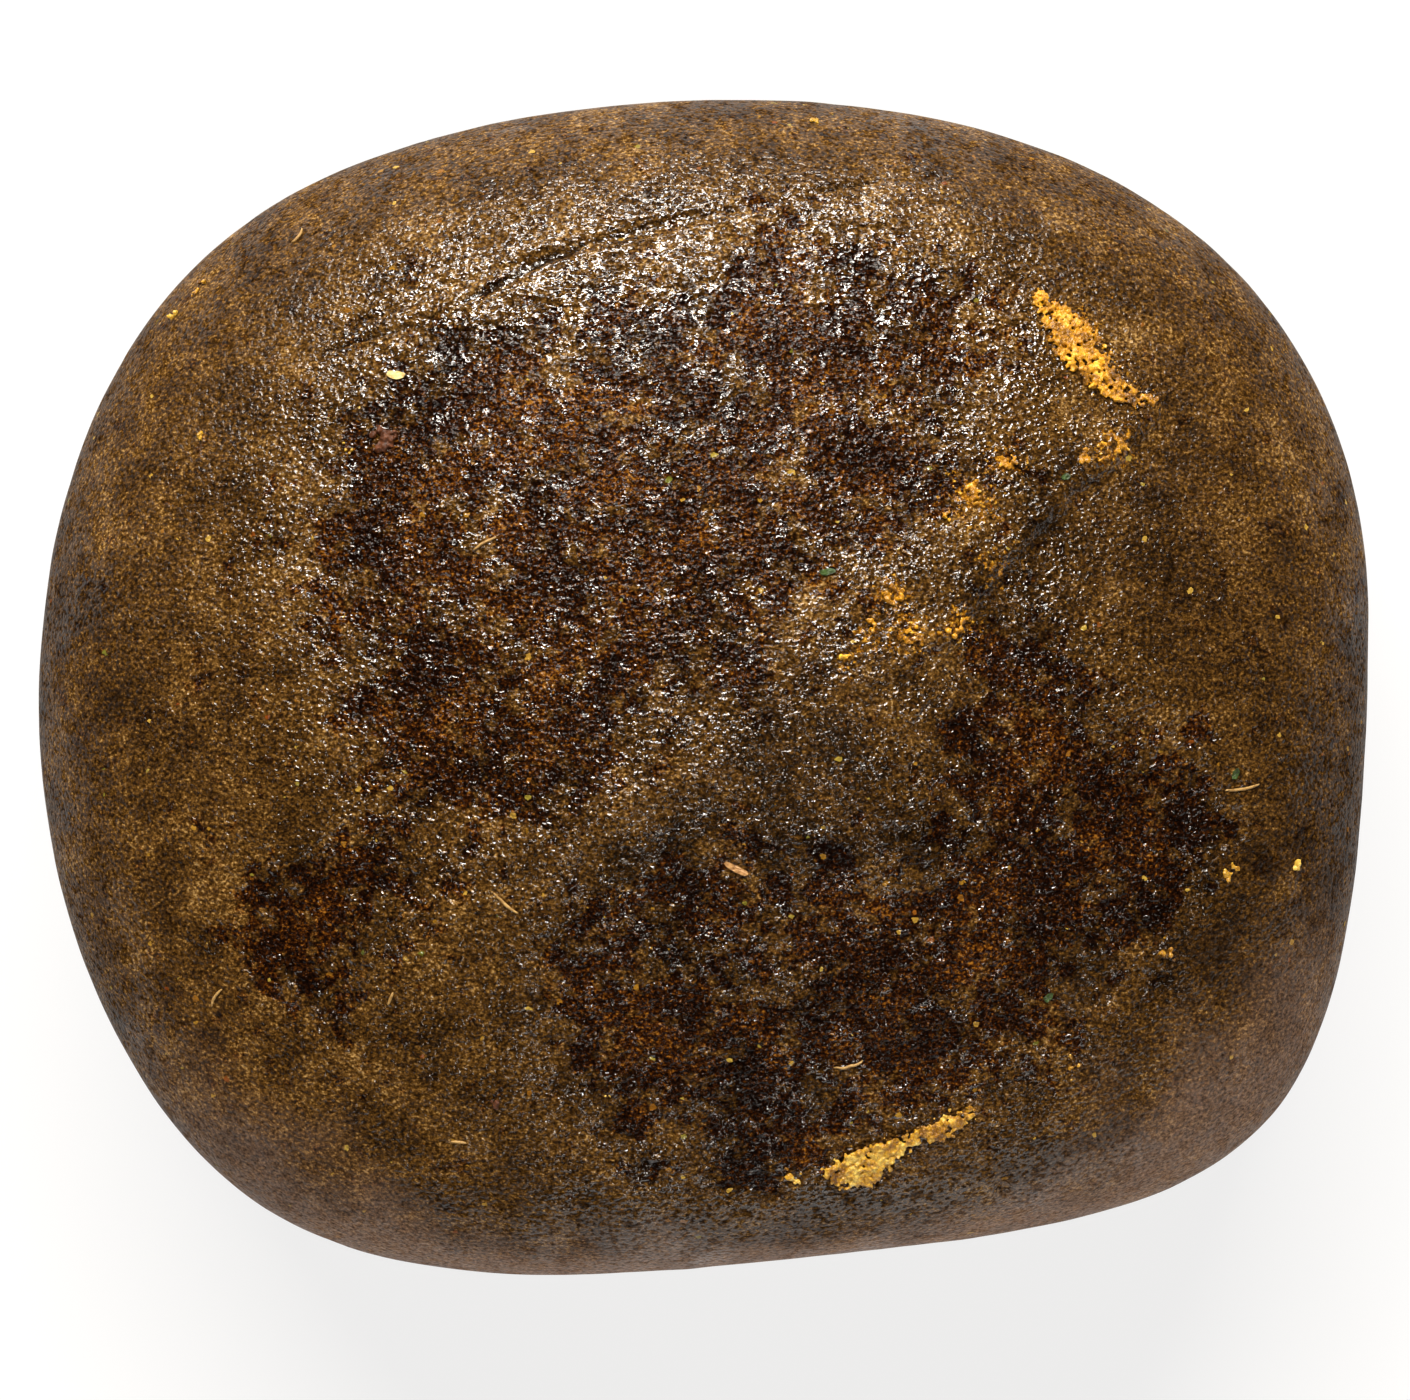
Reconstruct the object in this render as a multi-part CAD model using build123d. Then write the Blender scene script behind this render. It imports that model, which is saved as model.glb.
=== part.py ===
"""A bare cake of pressed resin for rubbing on bow hair.

The cake is a squarish pebble with a domed top and a flat base. It is one pressed mass in
two layers: a grainy core, and a thin burnished rind that closes over its sides and base
and has worn away on top. Crusts and crumbs of amber resin, chaff, grains, leaf flecks and
fibres are bedded in it, each in a pocket of its own shape. Nothing on it moves.

Frame: origin at the centre of the base, +X along the length, +Z up. Millimetres.
A place on top is given as two shares, from -1 to 1 over the length and over the depth.
"""

import os

from build123d import *

# The cake
length = 42.0
depth = 37.0
height = 20.0
dome_radius = 38.0  # the curve of the top
top_round = 6.0  # between the top and the sides
base_round = 6.5  # between the sides and the base
rind = 0.8

# Points of its plan, from the right side round
plan_shares = (
    (0.986, 0.086),
    (0.714, 0.789),
    (-0.267, 0.968),
    (-0.700, 0.784),
    (-0.995, -0.114),
    (-0.676, -0.881),
    (0.162, -0.968),
    (0.814, -0.773),
)

# Where the rind has worn away, and how far the bare core lies below the rind's face
upper_wear = 0.15
upper_wear_shares = (
    (-0.55, 0.46),
    (-0.40, 0.61),
    (-0.14, 0.66),
    (0.02, 0.73),
    (0.37, 0.71),
    (0.46, 0.59),
    (0.41, 0.41),
    (0.28, 0.19),
    (0.07, 0.01),
    (-0.17, -0.19),
    (-0.40, -0.36),
    (-0.61, -0.51),
    (-0.68, -0.41),
    (-0.53, -0.18),
    (-0.60, 0.14),
)
lower_wear = 0.5
lower_wear_shares = (
    (0.48, 0.16),
    (0.63, -0.04),
    (0.79, -0.18),
    (0.71, -0.41),
    (0.55, -0.61),
    (0.40, -0.70),
    (0.21, -0.79),
    (-0.07, -0.81),
    (-0.21, -0.68),
    (-0.21, -0.44),
    (-0.09, -0.25),
    (0.13, -0.24),
    (0.29, -0.25),
    (0.33, -0.03),
)

# The seam where the mass was folded over: its line and its half width along it
seam_depth = 0.4
seam_line = ((-0.62, 0.54), (-0.25, 0.71), (0.10, 0.81), (0.34, 0.87))
seam_halves = (0.02, 0.10, 0.08, 0.02)

# A pit in the rind
pit_radius = 0.25
pit_share = (0.444, -0.839)

# Crusts at the rind's broken edge: each one's middle line and its half width along it
crust_depth = 1.0
crusts = {
    "amber_crust_upper": (
        ((0.49, 0.66), (0.54, 0.59), (0.60, 0.53), (0.67, 0.48)),
        (0.15, 0.70, 0.80, 0.15),
    ),
    "amber_crust_side": (
        ((0.55, 0.38), (0.60, 0.40), (0.64, 0.42)),
        (0.12, 0.30, 0.12),
    ),
    "gold_crust_lower": (
        ((0.18, -0.81), (0.27, -0.80), (0.35, -0.75), (0.40, -0.71)),
        (0.15, 0.60, 0.35, 0.15),
    ),
}

# Bedded pieces: place as two shares, heading in degrees, then length, width, thickness
grains = {
    "amber_crumbs": (
        (0.45, 0.38, 20, 0.60, 0.45, 0.40),
        (0.40, 0.33, 70, 0.70, 0.40, 0.40),
        (0.37, 0.29, 10, 0.55, 0.40, 0.35),
        (0.28, 0.155, 40, 0.60, 0.50, 0.40),
        (0.31, 0.09, 80, 0.70, 0.60, 0.45),
        (0.375, 0.105, 55, 0.80, 0.50, 0.45),
        (0.25, 0.10, 0, 0.55, 0.45, 0.40),
        (0.21, 0.05, 25, 0.50, 0.30, 0.35),
    ),
    "gold_crumbs": (
        (0.53, -0.61, 30, 0.45, 0.30, 0.30),
        (0.69, -0.45, 75, 0.40, 0.35, 0.30),
        (0.76, -0.30, 60, 0.55, 0.35, 0.30),
        (0.13, -0.80, 0, 0.45, 0.40, 0.35),
        (-0.75, 0.68, 20, 0.60, 0.35, 0.30),
    ),
    "yellow_grains": (
        (-0.53, 0.40, 20, 0.36, 0.26, 0.26),
        (-0.14, -0.675, 80, 0.30, 0.26, 0.26),
        (-0.745, 0.42, 55, 0.34, 0.26, 0.26),
        (-0.79, 0.63, 0, 0.32, 0.24, 0.24),
        (0.88, -0.30, 35, 0.30, 0.26, 0.24),
        (0.17, 0.955, 0, 0.34, 0.24, 0.24),
    ),
    "husk_grain": ((-0.478, 0.42, 30, 0.80, 0.70, 0.45),),
    "orange_grain": ((-0.303, -0.696, 10, 0.45, 0.35, 0.30),),
}
flakes = {
    "leaf_flecks": (
        (0.18, 0.19, 10, 0.60, 0.25, 0.15),
        (0.50, -0.51, 40, 0.40, 0.25, 0.15),
        (0.76, -0.14, 65, 0.45, 0.25, 0.15),
        (0.53, 0.35, 25, 0.35, 0.22, 0.15),
    ),
    "straw_chip": ((-0.453, 0.523, -12, 0.75, 0.30, 0.20),),
    "chaff_flake": ((0.047, -0.295, -25, 0.90, 0.45, 0.20),),
}
fibres = {
    "straw_fibres": (
        (0.80, -0.17, 8, 1.10, 0.10, 0.10),
        (-0.36, -0.76, 0, 0.50, 0.10, 0.10),
        (-0.46, -0.52, 65, 0.45, 0.10, 0.10),
        (-0.29, -0.36, -40, 1.00, 0.10, 0.10),
        (0.21, -0.62, 15, 0.90, 0.10, 0.10),
        (-0.60, 0.76, 75, 0.60, 0.10, 0.10),
        (-0.72, -0.52, 55, 0.70, 0.10, 0.10),
        (-0.32, 0.24, 30, 0.80, 0.10, 0.10),
    ),
}

corner_share = 0.3  # a grain's cut corners, as a share of its width
tip_share = 0.25  # a flake's width at its tips, as a share of its width
out_share = 0.3  # how much of a bedded piece's thickness stands out of the surface


def place(shares):
    """The point of the plan at two shares."""
    return Vector(shares[0] * length / 2, shares[1] * depth / 2)


def plan(inset):
    """The outline of the plan as a face length by depth, drawn in by inset."""
    drawn = Spline(*[place(s) for s in plan_shares], periodic=True).bounding_box()
    middle = drawn.center()
    points = []
    for shares in plan_shares:
        away = place(shares) - middle
        full = Vector(away.X * length / drawn.size.X, away.Y * depth / drawn.size.Y)
        points.append(full * (1 - inset / full.length))
    return make_face(Spline(*points, periodic=True))


def pebble(inset):
    """The form of the whole cake, drawn in by inset on every side."""
    block = Pos(0, 0, inset) * extrude(plan(inset), height - inset)
    # The ball lies on its side, so that its seam and poles are clear of the top.
    ball = Pos(0, 0, height - dome_radius) * Rotation(0, 90, 0) * Sphere(dome_radius - inset)
    body = block & ball
    rim = body.edges().filter_by(lambda e: e.bounding_box().min.Z > height / 4)
    wall = min(edge.bounding_box().min.Z for edge in rim)
    body = fillet(rim, min(top_round, wall / 2) - inset)
    foot = body.edges().filter_by(lambda e: e.bounding_box().max.Z < height / 10)
    return fillet(foot, min(base_round, wall / 2) - inset)


def post(face):
    """An upright post on a face of the plan, from half height up past the top."""
    return Pos(0, 0, height / 2) * extrude(face, height)


def outline_post(shares):
    """A post inside the smooth closed curve through the places."""
    return post(make_face(Spline(*[place(s) for s in shares], periodic=True)))


def ribbon_post(line, halves):
    """A post along a middle line, with its own half width at each point."""
    points = [place(s) for s in line]
    middle = Spline(*points)
    left = []
    right = []
    for n, half in enumerate(halves):
        across = middle.tangent_at(n / (len(halves) - 1)).cross(Vector(0, 0, 1))
        left.append(points[n] - across * half)
        right.append(points[n] + across * half)
    ends = [Line(left[0], right[0]), Line(left[-1], right[-1])]
    return post(make_face([Spline(*left), Spline(*right), *ends]))


def surface_plane(layers, shares, heading):
    """The plane that touches the top of the layers at a place, its X turned to heading."""
    x, y, _ = place(shares)
    upright = Axis((x, y, 0), (0, 0, 1))
    hits = [hit for layer in layers for hit in layer.find_intersection_points(upright)]
    point, normal = max(hits, key=lambda hit: hit[0].Z)
    out = normal if normal.Z > 0 else -normal
    level = Vector(1, 0, 0).rotate(Axis.Z, heading)
    return Plane(origin=point, x_dir=level - out * level.dot(out), z_dir=out)


def bedded(layers, row, shape):
    """One shape bedded in the top of the layers, partly standing out of them."""
    across, along, heading, long, wide, thick = row
    plane = surface_plane(layers, (across, along), heading)
    return plane * Pos(0, 0, (out_share - 0.5) * thick) * shape(long, wide, thick)


def grain(long, wide, thick):
    """A blocky grain with cut corners."""
    block = Box(long, wide, thick)
    return chamfer(block.edges().filter_by(Axis.Z), corner_share * wide)


def flake(long, wide, thick):
    """A flat flake that narrows to both ends."""
    tip = tip_share * wide / 2
    half = [(-long / 2, -tip), (0, -wide / 2), (long / 2, -tip)]
    corners = half + [(-x, -y) for x, y in half]
    return extrude(make_face(Polyline(*corners, close=True)), thick / 2, both=True)


def fibre(long, wide, thick):
    """A straight six-sided fibre."""
    return Rotation(0, 90, 0) * extrude(RegularPolygon(wide / 2, 6), long / 2, both=True)


def main():
    whole = pebble(0)
    under_rind = pebble(rind)
    upper_window = outline_post(upper_wear_shares)
    lower_window = outline_post(lower_wear_shares)

    bare_upper = pebble(upper_wear) & upper_window
    bare_lower = pebble(lower_wear) & lower_window
    core = under_rind + [bare_upper, bare_lower]
    skin = whole - [under_rind, upper_window, lower_window]

    nodes = {}
    crust_layer = whole - pebble(crust_depth)
    for name, (line, halves) in crusts.items():
        nodes[name] = [ribbon_post(line, halves) & crust_layer]

    layers = (core, skin)
    for rows_of, shape in ((grains, grain), (flakes, flake), (fibres, fibre)):
        for name, rows in rows_of.items():
            nodes[name] = [bedded(layers, row, shape) for row in rows]

    seam = ribbon_post(seam_line, seam_halves) & (whole - pebble(seam_depth))
    pit = Pos(*surface_plane(layers, pit_share, 0).origin) * Sphere(pit_radius)
    hollows = [seam, pit]
    for pieces in nodes.values():
        hollows += pieces
    nodes["resin_core"] = [core - hollows]
    nodes["burnished_rind"] = [skin - hollows]

    os.makedirs("parts", exist_ok=True)
    for name, pieces in nodes.items():
        solids = [solid for piece in pieces for solid in piece.solids()]
        export_step(Compound(children=solids), f"parts/{name}.step")


if __name__ == "__main__":
    main()
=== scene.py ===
import math

import bmesh
import bpy
import numpy as np
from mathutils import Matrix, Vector, noise
from mathutils.bvhtree import BVHTree
from mathutils.kdtree import KDTree


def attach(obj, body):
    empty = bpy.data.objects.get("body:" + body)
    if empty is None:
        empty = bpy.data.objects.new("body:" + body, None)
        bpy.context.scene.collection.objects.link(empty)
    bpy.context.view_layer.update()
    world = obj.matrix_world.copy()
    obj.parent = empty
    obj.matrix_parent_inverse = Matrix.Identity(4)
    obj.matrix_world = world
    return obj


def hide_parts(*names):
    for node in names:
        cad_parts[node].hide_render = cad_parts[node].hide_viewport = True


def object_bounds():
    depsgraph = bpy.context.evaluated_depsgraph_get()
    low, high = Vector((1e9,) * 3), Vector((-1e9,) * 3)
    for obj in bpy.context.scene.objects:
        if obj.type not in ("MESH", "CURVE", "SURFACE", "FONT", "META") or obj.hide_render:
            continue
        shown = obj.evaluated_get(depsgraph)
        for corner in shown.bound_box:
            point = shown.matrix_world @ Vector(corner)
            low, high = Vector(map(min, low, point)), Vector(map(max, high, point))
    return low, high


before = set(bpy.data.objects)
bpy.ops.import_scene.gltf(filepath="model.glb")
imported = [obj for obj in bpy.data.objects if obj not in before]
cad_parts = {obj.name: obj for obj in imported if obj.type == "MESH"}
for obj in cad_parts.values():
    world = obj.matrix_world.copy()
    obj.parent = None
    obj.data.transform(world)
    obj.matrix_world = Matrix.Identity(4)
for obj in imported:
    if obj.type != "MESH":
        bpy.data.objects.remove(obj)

# A bare cake of pressed resin for rubbing on bow hair: a squarish pebble, smooth where hands
# have burnished it, and raw, grainy and glossy where that rind has worn away on top.
# Metres throughout, in the part's frame: +X along the length, +Z up, the base on Z = 0.

MM = 0.001
CAD_BOX = [list(corner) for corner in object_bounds()]
HALF_LENGTH, HALF_DEPTH, HEIGHT = Vector(CAD_BOX[1])
MIDDLE = Vector((0, 0, 0.45 * HEIGHT))  # the point inside from which the form is looked up
FAR = 0.1  # far enough out to look back at the whole cake
RIND = 0.8 * MM  # how thick the rind is
rng = np.random.default_rng(7)


# ---------------------------------------------------------------- small tools


def ease(low, high, x):
    """0 below low, 1 above high, and a smooth turn between them."""
    t = np.clip((x - low) / (high - low), 0, 1)
    return t * t * (3 - 2 * t)


def clouds(points, size, octaves=1, seed=0.0):
    """Soft noise from about -1 to 1, its lumps size across, at each point."""
    scaled = np.asarray(points) / size + seed
    if octaves == 1:
        return np.array([noise.noise(p) for p in scaled.tolist()])
    return np.array([noise.fractal(p, 0.9, 2.1, octaves) for p in scaled.tolist()])


def grit(points, size, seed=0.0):
    """Packed rounded grains size across: 1 at the top of a grain, 0 in the gaps."""
    scaled = np.asarray(points) / size + seed
    near = np.array([noise.voronoi(p)[0][:2] for p in scaled.tolist()])
    return np.clip(near[:, 1] - near[:, 0], 0, 0.6) / 0.6


def curve_through(points, steps=12):
    """A smooth open curve through a few points, as a finer row of points."""
    p = np.array([points[0], *points, points[-1]], float)
    t = np.linspace(0, 1, steps, endpoint=False)[:, None]
    spans = []
    for a, b, c, d in zip(p, p[1:], p[2:], p[3:]):
        bend = (2 * a - 5 * b + 4 * c - d) * t**2
        twist = (3 * b - a - 3 * c + d) * t**3
        spans.append(0.5 * (2 * b + (c - a) * t + bend + twist))
    return np.vstack([*spans, p[-1:]])


def beside(points, line):
    """How far each point lies to the left of a line seen from above, and how far along it."""
    xy = np.asarray(points)[:, :2]
    best = np.full(len(xy), 1e9)
    left = np.zeros(len(xy))
    along = np.zeros(len(xy))
    for n, (a, b) in enumerate(zip(line, line[1:])):
        span = b - a
        t = np.clip((xy - a) @ span / (span @ span), 0, 1)
        away = xy - (a + t[:, None] * span)
        far = np.hypot(*away.T)
        side = np.sign(span[0] * (xy[:, 1] - a[1]) - span[1] * (xy[:, 0] - a[0]))
        nearer = far < best
        best[nearer] = far[nearer]
        left[nearer] = (side * far)[nearer]
        along[nearer] = ((n + t) / (len(line) - 1))[nearer]
    return left, along


def make_piece(name, verts, faces, material, slot, stands_for, smooth=True):
    """A mesh object that rides on the cake and stands for CAD nodes."""
    mesh = bpy.data.meshes.new(name)
    mesh.from_pydata(np.asarray(verts).tolist(), [], faces)
    mesh.validate()
    mesh.materials.append(material)
    if smooth:
        mesh.shade_smooth()
    piece = bpy.data.objects.new(name, mesh)
    bpy.context.scene.collection.objects.link(piece)
    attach(piece, "root")
    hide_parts(*stands_for)
    return piece


def give_values(piece, name, values):
    """Stores one number for each vertex, for the material to read."""
    layer = piece.data.attributes.new(name, "FLOAT", "POINT")
    layer.data.foreach_set("value", np.asarray(values, np.float32))


# ---------------------------------------------------------------- the form of the cake


def cad_surface(names):
    """The CAD nodes' faces as one searchable surface, and the node of each face."""
    verts, faces, owner = [], [], []
    for name in names:
        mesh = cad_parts[name].data
        start = len(verts)
        verts += [v.co.copy() for v in mesh.vertices]
        faces += [[start + i for i in poly.vertices] for poly in mesh.polygons]
        owner += [name] * len(mesh.polygons)
    return BVHTree.FromPolygons(verts, faces), owner


LAYERS, LAYER_OWNER = cad_surface(list(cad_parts))
UPPER_WEAR, LOWER_WEAR = 0.15 * MM, 0.5 * MM  # how deep the windows above and below the fold are
HIDDEN = 0.5  # how bare the surface counts as where a crumb or a crust hides it


def outermost(direction):
    """Where the cake's surface lies in a direction from its middle, and how bare of rind it is:
    0 or 1, or HIDDEN. Over the bare core it is the surface that the rind had there before it
    wore away."""
    heading = Vector(direction).normalized()
    hit, normal, face, _ = LAYERS.ray_cast(MIDDLE + heading * FAR, -heading)
    if LAYER_OWNER[face] not in ("resin_core", "burnished_rind"):
        return hit, HIDDEN
    if hit.z > 0.6 * HEIGHT and normal.dot(heading) < 0.6:  # the wall round a window
        return hit, HIDDEN
    if LAYER_OWNER[face] == "burnished_rind":
        return hit, 0.0
    lower = hit.y < 0.64 * hit.x - 2.6 * MM  # on the near side of the fold
    return hit + normal * (LOWER_WEAR if lower else UPPER_WEAR), 1.0


TOP_EDGE_RISE = 0.42 * HEIGHT  # sets how much of the cake the grid's top takes in
BASE_EDGE = 7.2 * MM  # how far inside the outline the grid's last row lies on the base


class CakeGrid:
    """A grid over the cake: a square of cells over the top, and rows down its four sides
    to the flat base. All of its cells are about the same size."""

    def __init__(self, across, down, grading=1.0):
        self.across, self.down, self.grading = across, down, grading
        n = across
        self.top = np.arange((n + 1) ** 2).reshape(n + 1, n + 1)
        rim = [*self.top[:-1, 0], *self.top[-1, :-1], *self.top[:0:-1, -1], *self.top[0, :0:-1]]
        below = np.arange(4 * n * down).reshape(down, 4 * n) + (n + 1) ** 2
        self.side = np.vstack([rim, below])
        self.places = self._places()

    def _places(self):
        """The direction from the cake's middle to each grid point."""
        n = self.across
        s = np.linspace(-1, 1, n + 1)
        spread = np.tan(s * math.pi / 4)
        u, v = np.meshgrid(spread, spread, indexing="ij")
        flat = np.stack([u * HALF_LENGTH, v * HALF_DEPTH, np.full_like(u, TOP_EDGE_RISE)], -1)
        directions = [flat.reshape(-1, 3)]
        rim = flat.reshape(-1, 3)[self.side[0]]
        turn = np.arctan2(rim[:, 1], rim[:, 0])
        rise = np.arctan2(rim[:, 2], np.hypot(rim[:, 0], rim[:, 1]))
        level = np.stack([np.cos(turn), np.sin(turn), 0 * turn], -1)
        reach = np.array([math.hypot(*(outermost(d)[0].xy)) for d in level])
        drop = -np.arctan2(MIDDLE.z, reach - BASE_EDGE)
        for row in range(1, self.down + 1):
            tilt = rise + (drop - rise) * (row / self.down) ** self.grading
            outwards = np.cos(tilt)[:, None] * level[:, :2]
            directions.append(np.column_stack([outwards, np.sin(tilt)]))
        return np.vstack(directions)

    def surface(self):
        """The cake's outside at each grid point, smoothed, and how far inside a window it is."""
        found = [outermost(d) for d in self.places]
        points = np.array([p for p, _ in found])
        bare = np.array([b for _, b in found])
        both = self.spread(np.column_stack([points, bare]), bare != HIDDEN, rounds=300)
        points, bare = both[:, :3], both[:, 3] > 0.5
        base_row = self.side[-1]
        points[base_row, 2] = 0
        cell = 2 * HALF_LENGTH * 0.86 / self.across
        rounds = int((0.5 * MM / cell) ** 2) + 1  # evens out what is smaller than half a millimetre
        points = self.smoothed(points, rounds, hold=base_row)
        return points, self.inside(points, bare)

    def inside(self, points, bare):
        """How far each point lies inside a worn window, in metres: below 0 outside them."""
        pairs = self.edges()
        rim = np.unique(pairs[bare[pairs[:, 0]] != bare[pairs[:, 1]]])
        tree = KDTree(len(rim))
        for n, i in enumerate(rim):
            tree.insert(points[i], n)
        tree.balance()
        away = np.array([tree.find(p)[2] for p in points.tolist()])
        return np.where(bare, away, -away)

    def spread(self, values, known, rounds):
        """Fills in the values that aren't known from the ones round them."""
        pairs = self.edges()
        pairs = pairs[~known[pairs[:, 0]]]
        count = np.bincount(pairs[:, 0], minlength=len(values))[~known, None]
        slot = np.cumsum(~known) - 1
        values = values.copy()
        for _ in range(rounds):
            total = [np.bincount(slot[pairs[:, 0]], c[pairs[:, 1]], len(count)) for c in values.T]
            values[~known] = np.stack(total, -1) / count
        return values

    def smoothed(self, values, rounds, hold=()):
        """Evens values out between neighbours, without shrinking the whole."""
        edges = self.edges()
        count = np.bincount(edges[:, 0], minlength=len(values))
        kept = values[list(hold)].copy()
        for step in range(4 * rounds):
            total = [np.bincount(edges[:, 0], c[edges[:, 1]], len(values)) for c in values.T]
            move = 0.5 if step % 2 == 0 else -0.52  # every second step undoes the shrinking
            values = values + move * (np.stack(total, -1) / count[:, None] - values)
            values[list(hold)] = kept
        return values

    def edges(self):
        """Every neighbouring pair, both ways round."""
        down, along = self.side[1:], np.roll(self.side, -1, axis=1)
        pairs = [
            np.stack([self.top[1:].ravel(), self.top[:-1].ravel()], -1),
            np.stack([self.top[:, 1:].ravel(), self.top[:, :-1].ravel()], -1),
            np.stack([self.side[:-1].ravel(), down.ravel()], -1),
            np.stack([self.side[1:].ravel(), along[1:].ravel()], -1),
        ]
        once = np.vstack(pairs)
        return np.vstack([once, once[:, ::-1]])

    def top_quads(self, step=1):
        """The faces over the top, each of them step cells wide."""
        t = self.top[::step, ::step]
        return np.stack([t[:-1, :-1], t[1:, :-1], t[1:, 1:], t[:-1, 1:]], -1).reshape(-1, 4)

    def side_quads(self, step=1):
        """The faces down the sides, each of them step cells wide."""
        s = self.side[::step, ::step]
        s = np.hstack([s, s[:, :1]])
        return np.stack([s[:-1, 1:], s[:-1, :-1], s[1:, :-1], s[1:, 1:]], -1).reshape(-1, 4)


def outward(points, quads):
    """The outward direction of the surface at each point."""
    a, b, c, d = (points[quads[:, i]] for i in range(4))
    face = np.cross(c - a, d - b)
    total = np.zeros_like(points)
    for i in range(4):
        for axis in range(3):
            total[:, axis] += np.bincount(quads[:, i], face[:, axis], len(points))
    return total / np.maximum(np.linalg.norm(total, axis=1, keepdims=True), 1e-12)


# ---------------------------------------------------------------- the relief of its surface

# The edge of the layer that was folded over the top, from the upper right to the lower left
FOLD_LINE = curve_through(MM * np.array([
    (14.6, 9.2), (11.8, 6.6), (9.6, 4.6), (7.2, 1.6),
    (4.0, -0.2), (0.2, -2.4), (-5.0, -5.2), (-12.8, -9.8),
]))
# The seam where that layer closed on itself
SEAM_LINE = curve_through(MM * np.array([
    (-13.0, 10.0), (-9.2, 11.1), (-6.7, 12.2), (-5.0, 13.1),
    (-1.9, 14.1), (1.8, 14.9), (4.6, 15.5), (7.0, 16.1),
]))
SEAM_GAPE = 0.36  # how far along the seam it gapes widest
PIT = np.array([9.3, -15.5]) * MM
FOLD_STEP, SEAM_DEPTH, PIT_DEPTH = 0.3 * MM, 0.11 * MM, 0.12 * MM
PIT_RADIUS = 0.16 * MM


def below_fold(points):
    """1 over the window below the fold, which is worn deeper, and 0 above the fold."""
    left, _ = beside(points, FOLD_LINE)
    return ease(-0.4 * MM, 0.8 * MM, left)


def seam_dark(points):
    """How open the seam is, which sets both its depth and its painted shade: 1 along its middle,
    and broken along its length.
    """
    ragged = points + 0.1 * MM * clouds(points, 0.7 * MM, 2, 4.1)[:, None]
    left, along = beside(ragged, SEAM_LINE)
    from_gape = along - SEAM_GAPE
    width = (0.05 + 0.14 * np.exp(-((from_gape / 0.07) ** 2))) * MM
    gapes = 1.2 * np.exp(-((from_gape / 0.12) ** 2))
    open_here = ease(-0.45, 0.25, clouds(points, 1.1 * MM, 3, 6.6) + gapes)
    return np.exp(-((left / width) ** 2)) * ease(0, 0.1, along) * ease(1, 0.9, along) * open_here


def relief(points, raw, into):
    """How far the cake's surface lies inside its plain form: folds, seam, hollows and wear."""
    wander = np.stack([clouds(points, 1.6 * MM, 3, seed) for seed in (3.1, 8.7)], -1) * 0.35 * MM
    top = ease(0.5, 0.62, points[:, 2] / HEIGHT)

    left, along = beside(points[:, :2] + wander, FOLD_LINE)
    step = FOLD_STEP * (1 - 0.8 * ease(0.2, 0.7, along))
    step = step * ease(0.0, 0.08, along) * ease(1.0, 0.9, along)
    below = np.maximum(left, 0)
    sunk = step * ease(0, 0.7 * MM, below) * np.exp(-below / (4.5 * MM))
    lip = 0.15 * step * np.exp(-np.abs(left) / (0.5 * MM))

    left, along = beside(points, SEAM_LINE)
    ends = ease(0, 0.12, along) * ease(1, 0.85, along)
    dip = 0.06 * MM * ends * ease(0.1 * MM, -0.2 * MM, left)
    seam = SEAM_DEPTH * seam_dark(points) + dip * np.exp(np.minimum(left, 0) / (1.2 * MM))

    from_pit = np.linalg.norm(points[:, :2] - PIT, axis=1)
    pit = PIT_DEPTH * np.exp(-((from_pit / PIT_RADIUS) ** 2))
    waves = 0.16 * MM * (0.5 + 0.5 * clouds(points, 9 * MM, 1, 1.3))
    waves += 0.05 * MM * (0.5 + 0.5 * clouds(points, 2.6 * MM, 2, 4.4))
    deeper = 0.12 + 0.14 * below_fold(points)
    wear = 0.07 * MM * raw + ease(-1.5 * MM, 2.5 * MM, into) * deeper * MM
    return np.maximum(top * (sunk + seam + pit - lip) + waves + wear, 0)


# ---------------------------------------------------------------- wear, dust and painted light

# Soft round spots on the top: across, along and radius in mm, and how strong. Raw spots are
# where the core shows, gloss spots where the skin is rubbed bright, shade spots where it is
# painted darker, and gold spots where amber dust is pressed in. Of the shade spots, the one at
# (13.2, 4.0) is painted shadow below the fold's ridge, those at (19.5, -3) and (-19.5, 1.5) are
# painted shade on the right and left edges, and the others darken it in patches.
RAW_SPOTS = [
    (10.5, 0.5, 1.7, 0.4), (0.8, 0.2, 1.6, 0.25), (10, -11, 2, 0.3), (-2.4, -10.8, 2.2, 0.4),
    (1.5, -14.8, 1.6, 0.35), (-12.8, -8, 1.6, 0.35), (13, -4, 1.7, 0.3), (-9, -4.8, 1.6, -0.3),
]
GLOSS_SPOTS = [
    (10.6, 9.4, 2.4, 0.7), (5.5, 13, 3.4, 0.6), (-1.5, 13.5, 3.2, 0.5), (-7, 12.5, 3.2, 0.5),
    (-11, 10, 2.6, 0.3),
]
SHADE_SPOTS = [
    (3, -2.8, 3.2, 0.6), (-3, -6, 2.6, 0.35), (7, -4, 2, 0.35), (1, -11.5, 4.5, 0.35),
    (12, -8, 4, 0.3), (-10, 7, 3, 0.25), (13.2, 4.0, 2.3, 0.6), (16.5, -7, 3, 0.35),
    (9, 3.2, 1.4, 0.5), (19.5, -3, 4, 0.4), (-19.5, 1.5, 3, 0.4),
]
GOLD_SPOTS = [
    (12.8, 7.4, 0.8, 0.8), (9.4, 7.0, 0.5, 1.0), (8.1, 5.8, 0.8, 1.0), (8.9, 3.9, 0.7, 0.8),
    (5.8, 3.0, 0.6, 0.8), (7.9, 1.9, 0.6, 1.0), (6.4, 1.7, 0.7, 0.85), (5.1, 1.7, 0.6, 0.8),
    (4.4, 0.9, 0.5, 0.7), (11.6, 10.9, 0.9, 0.8),
]


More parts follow.
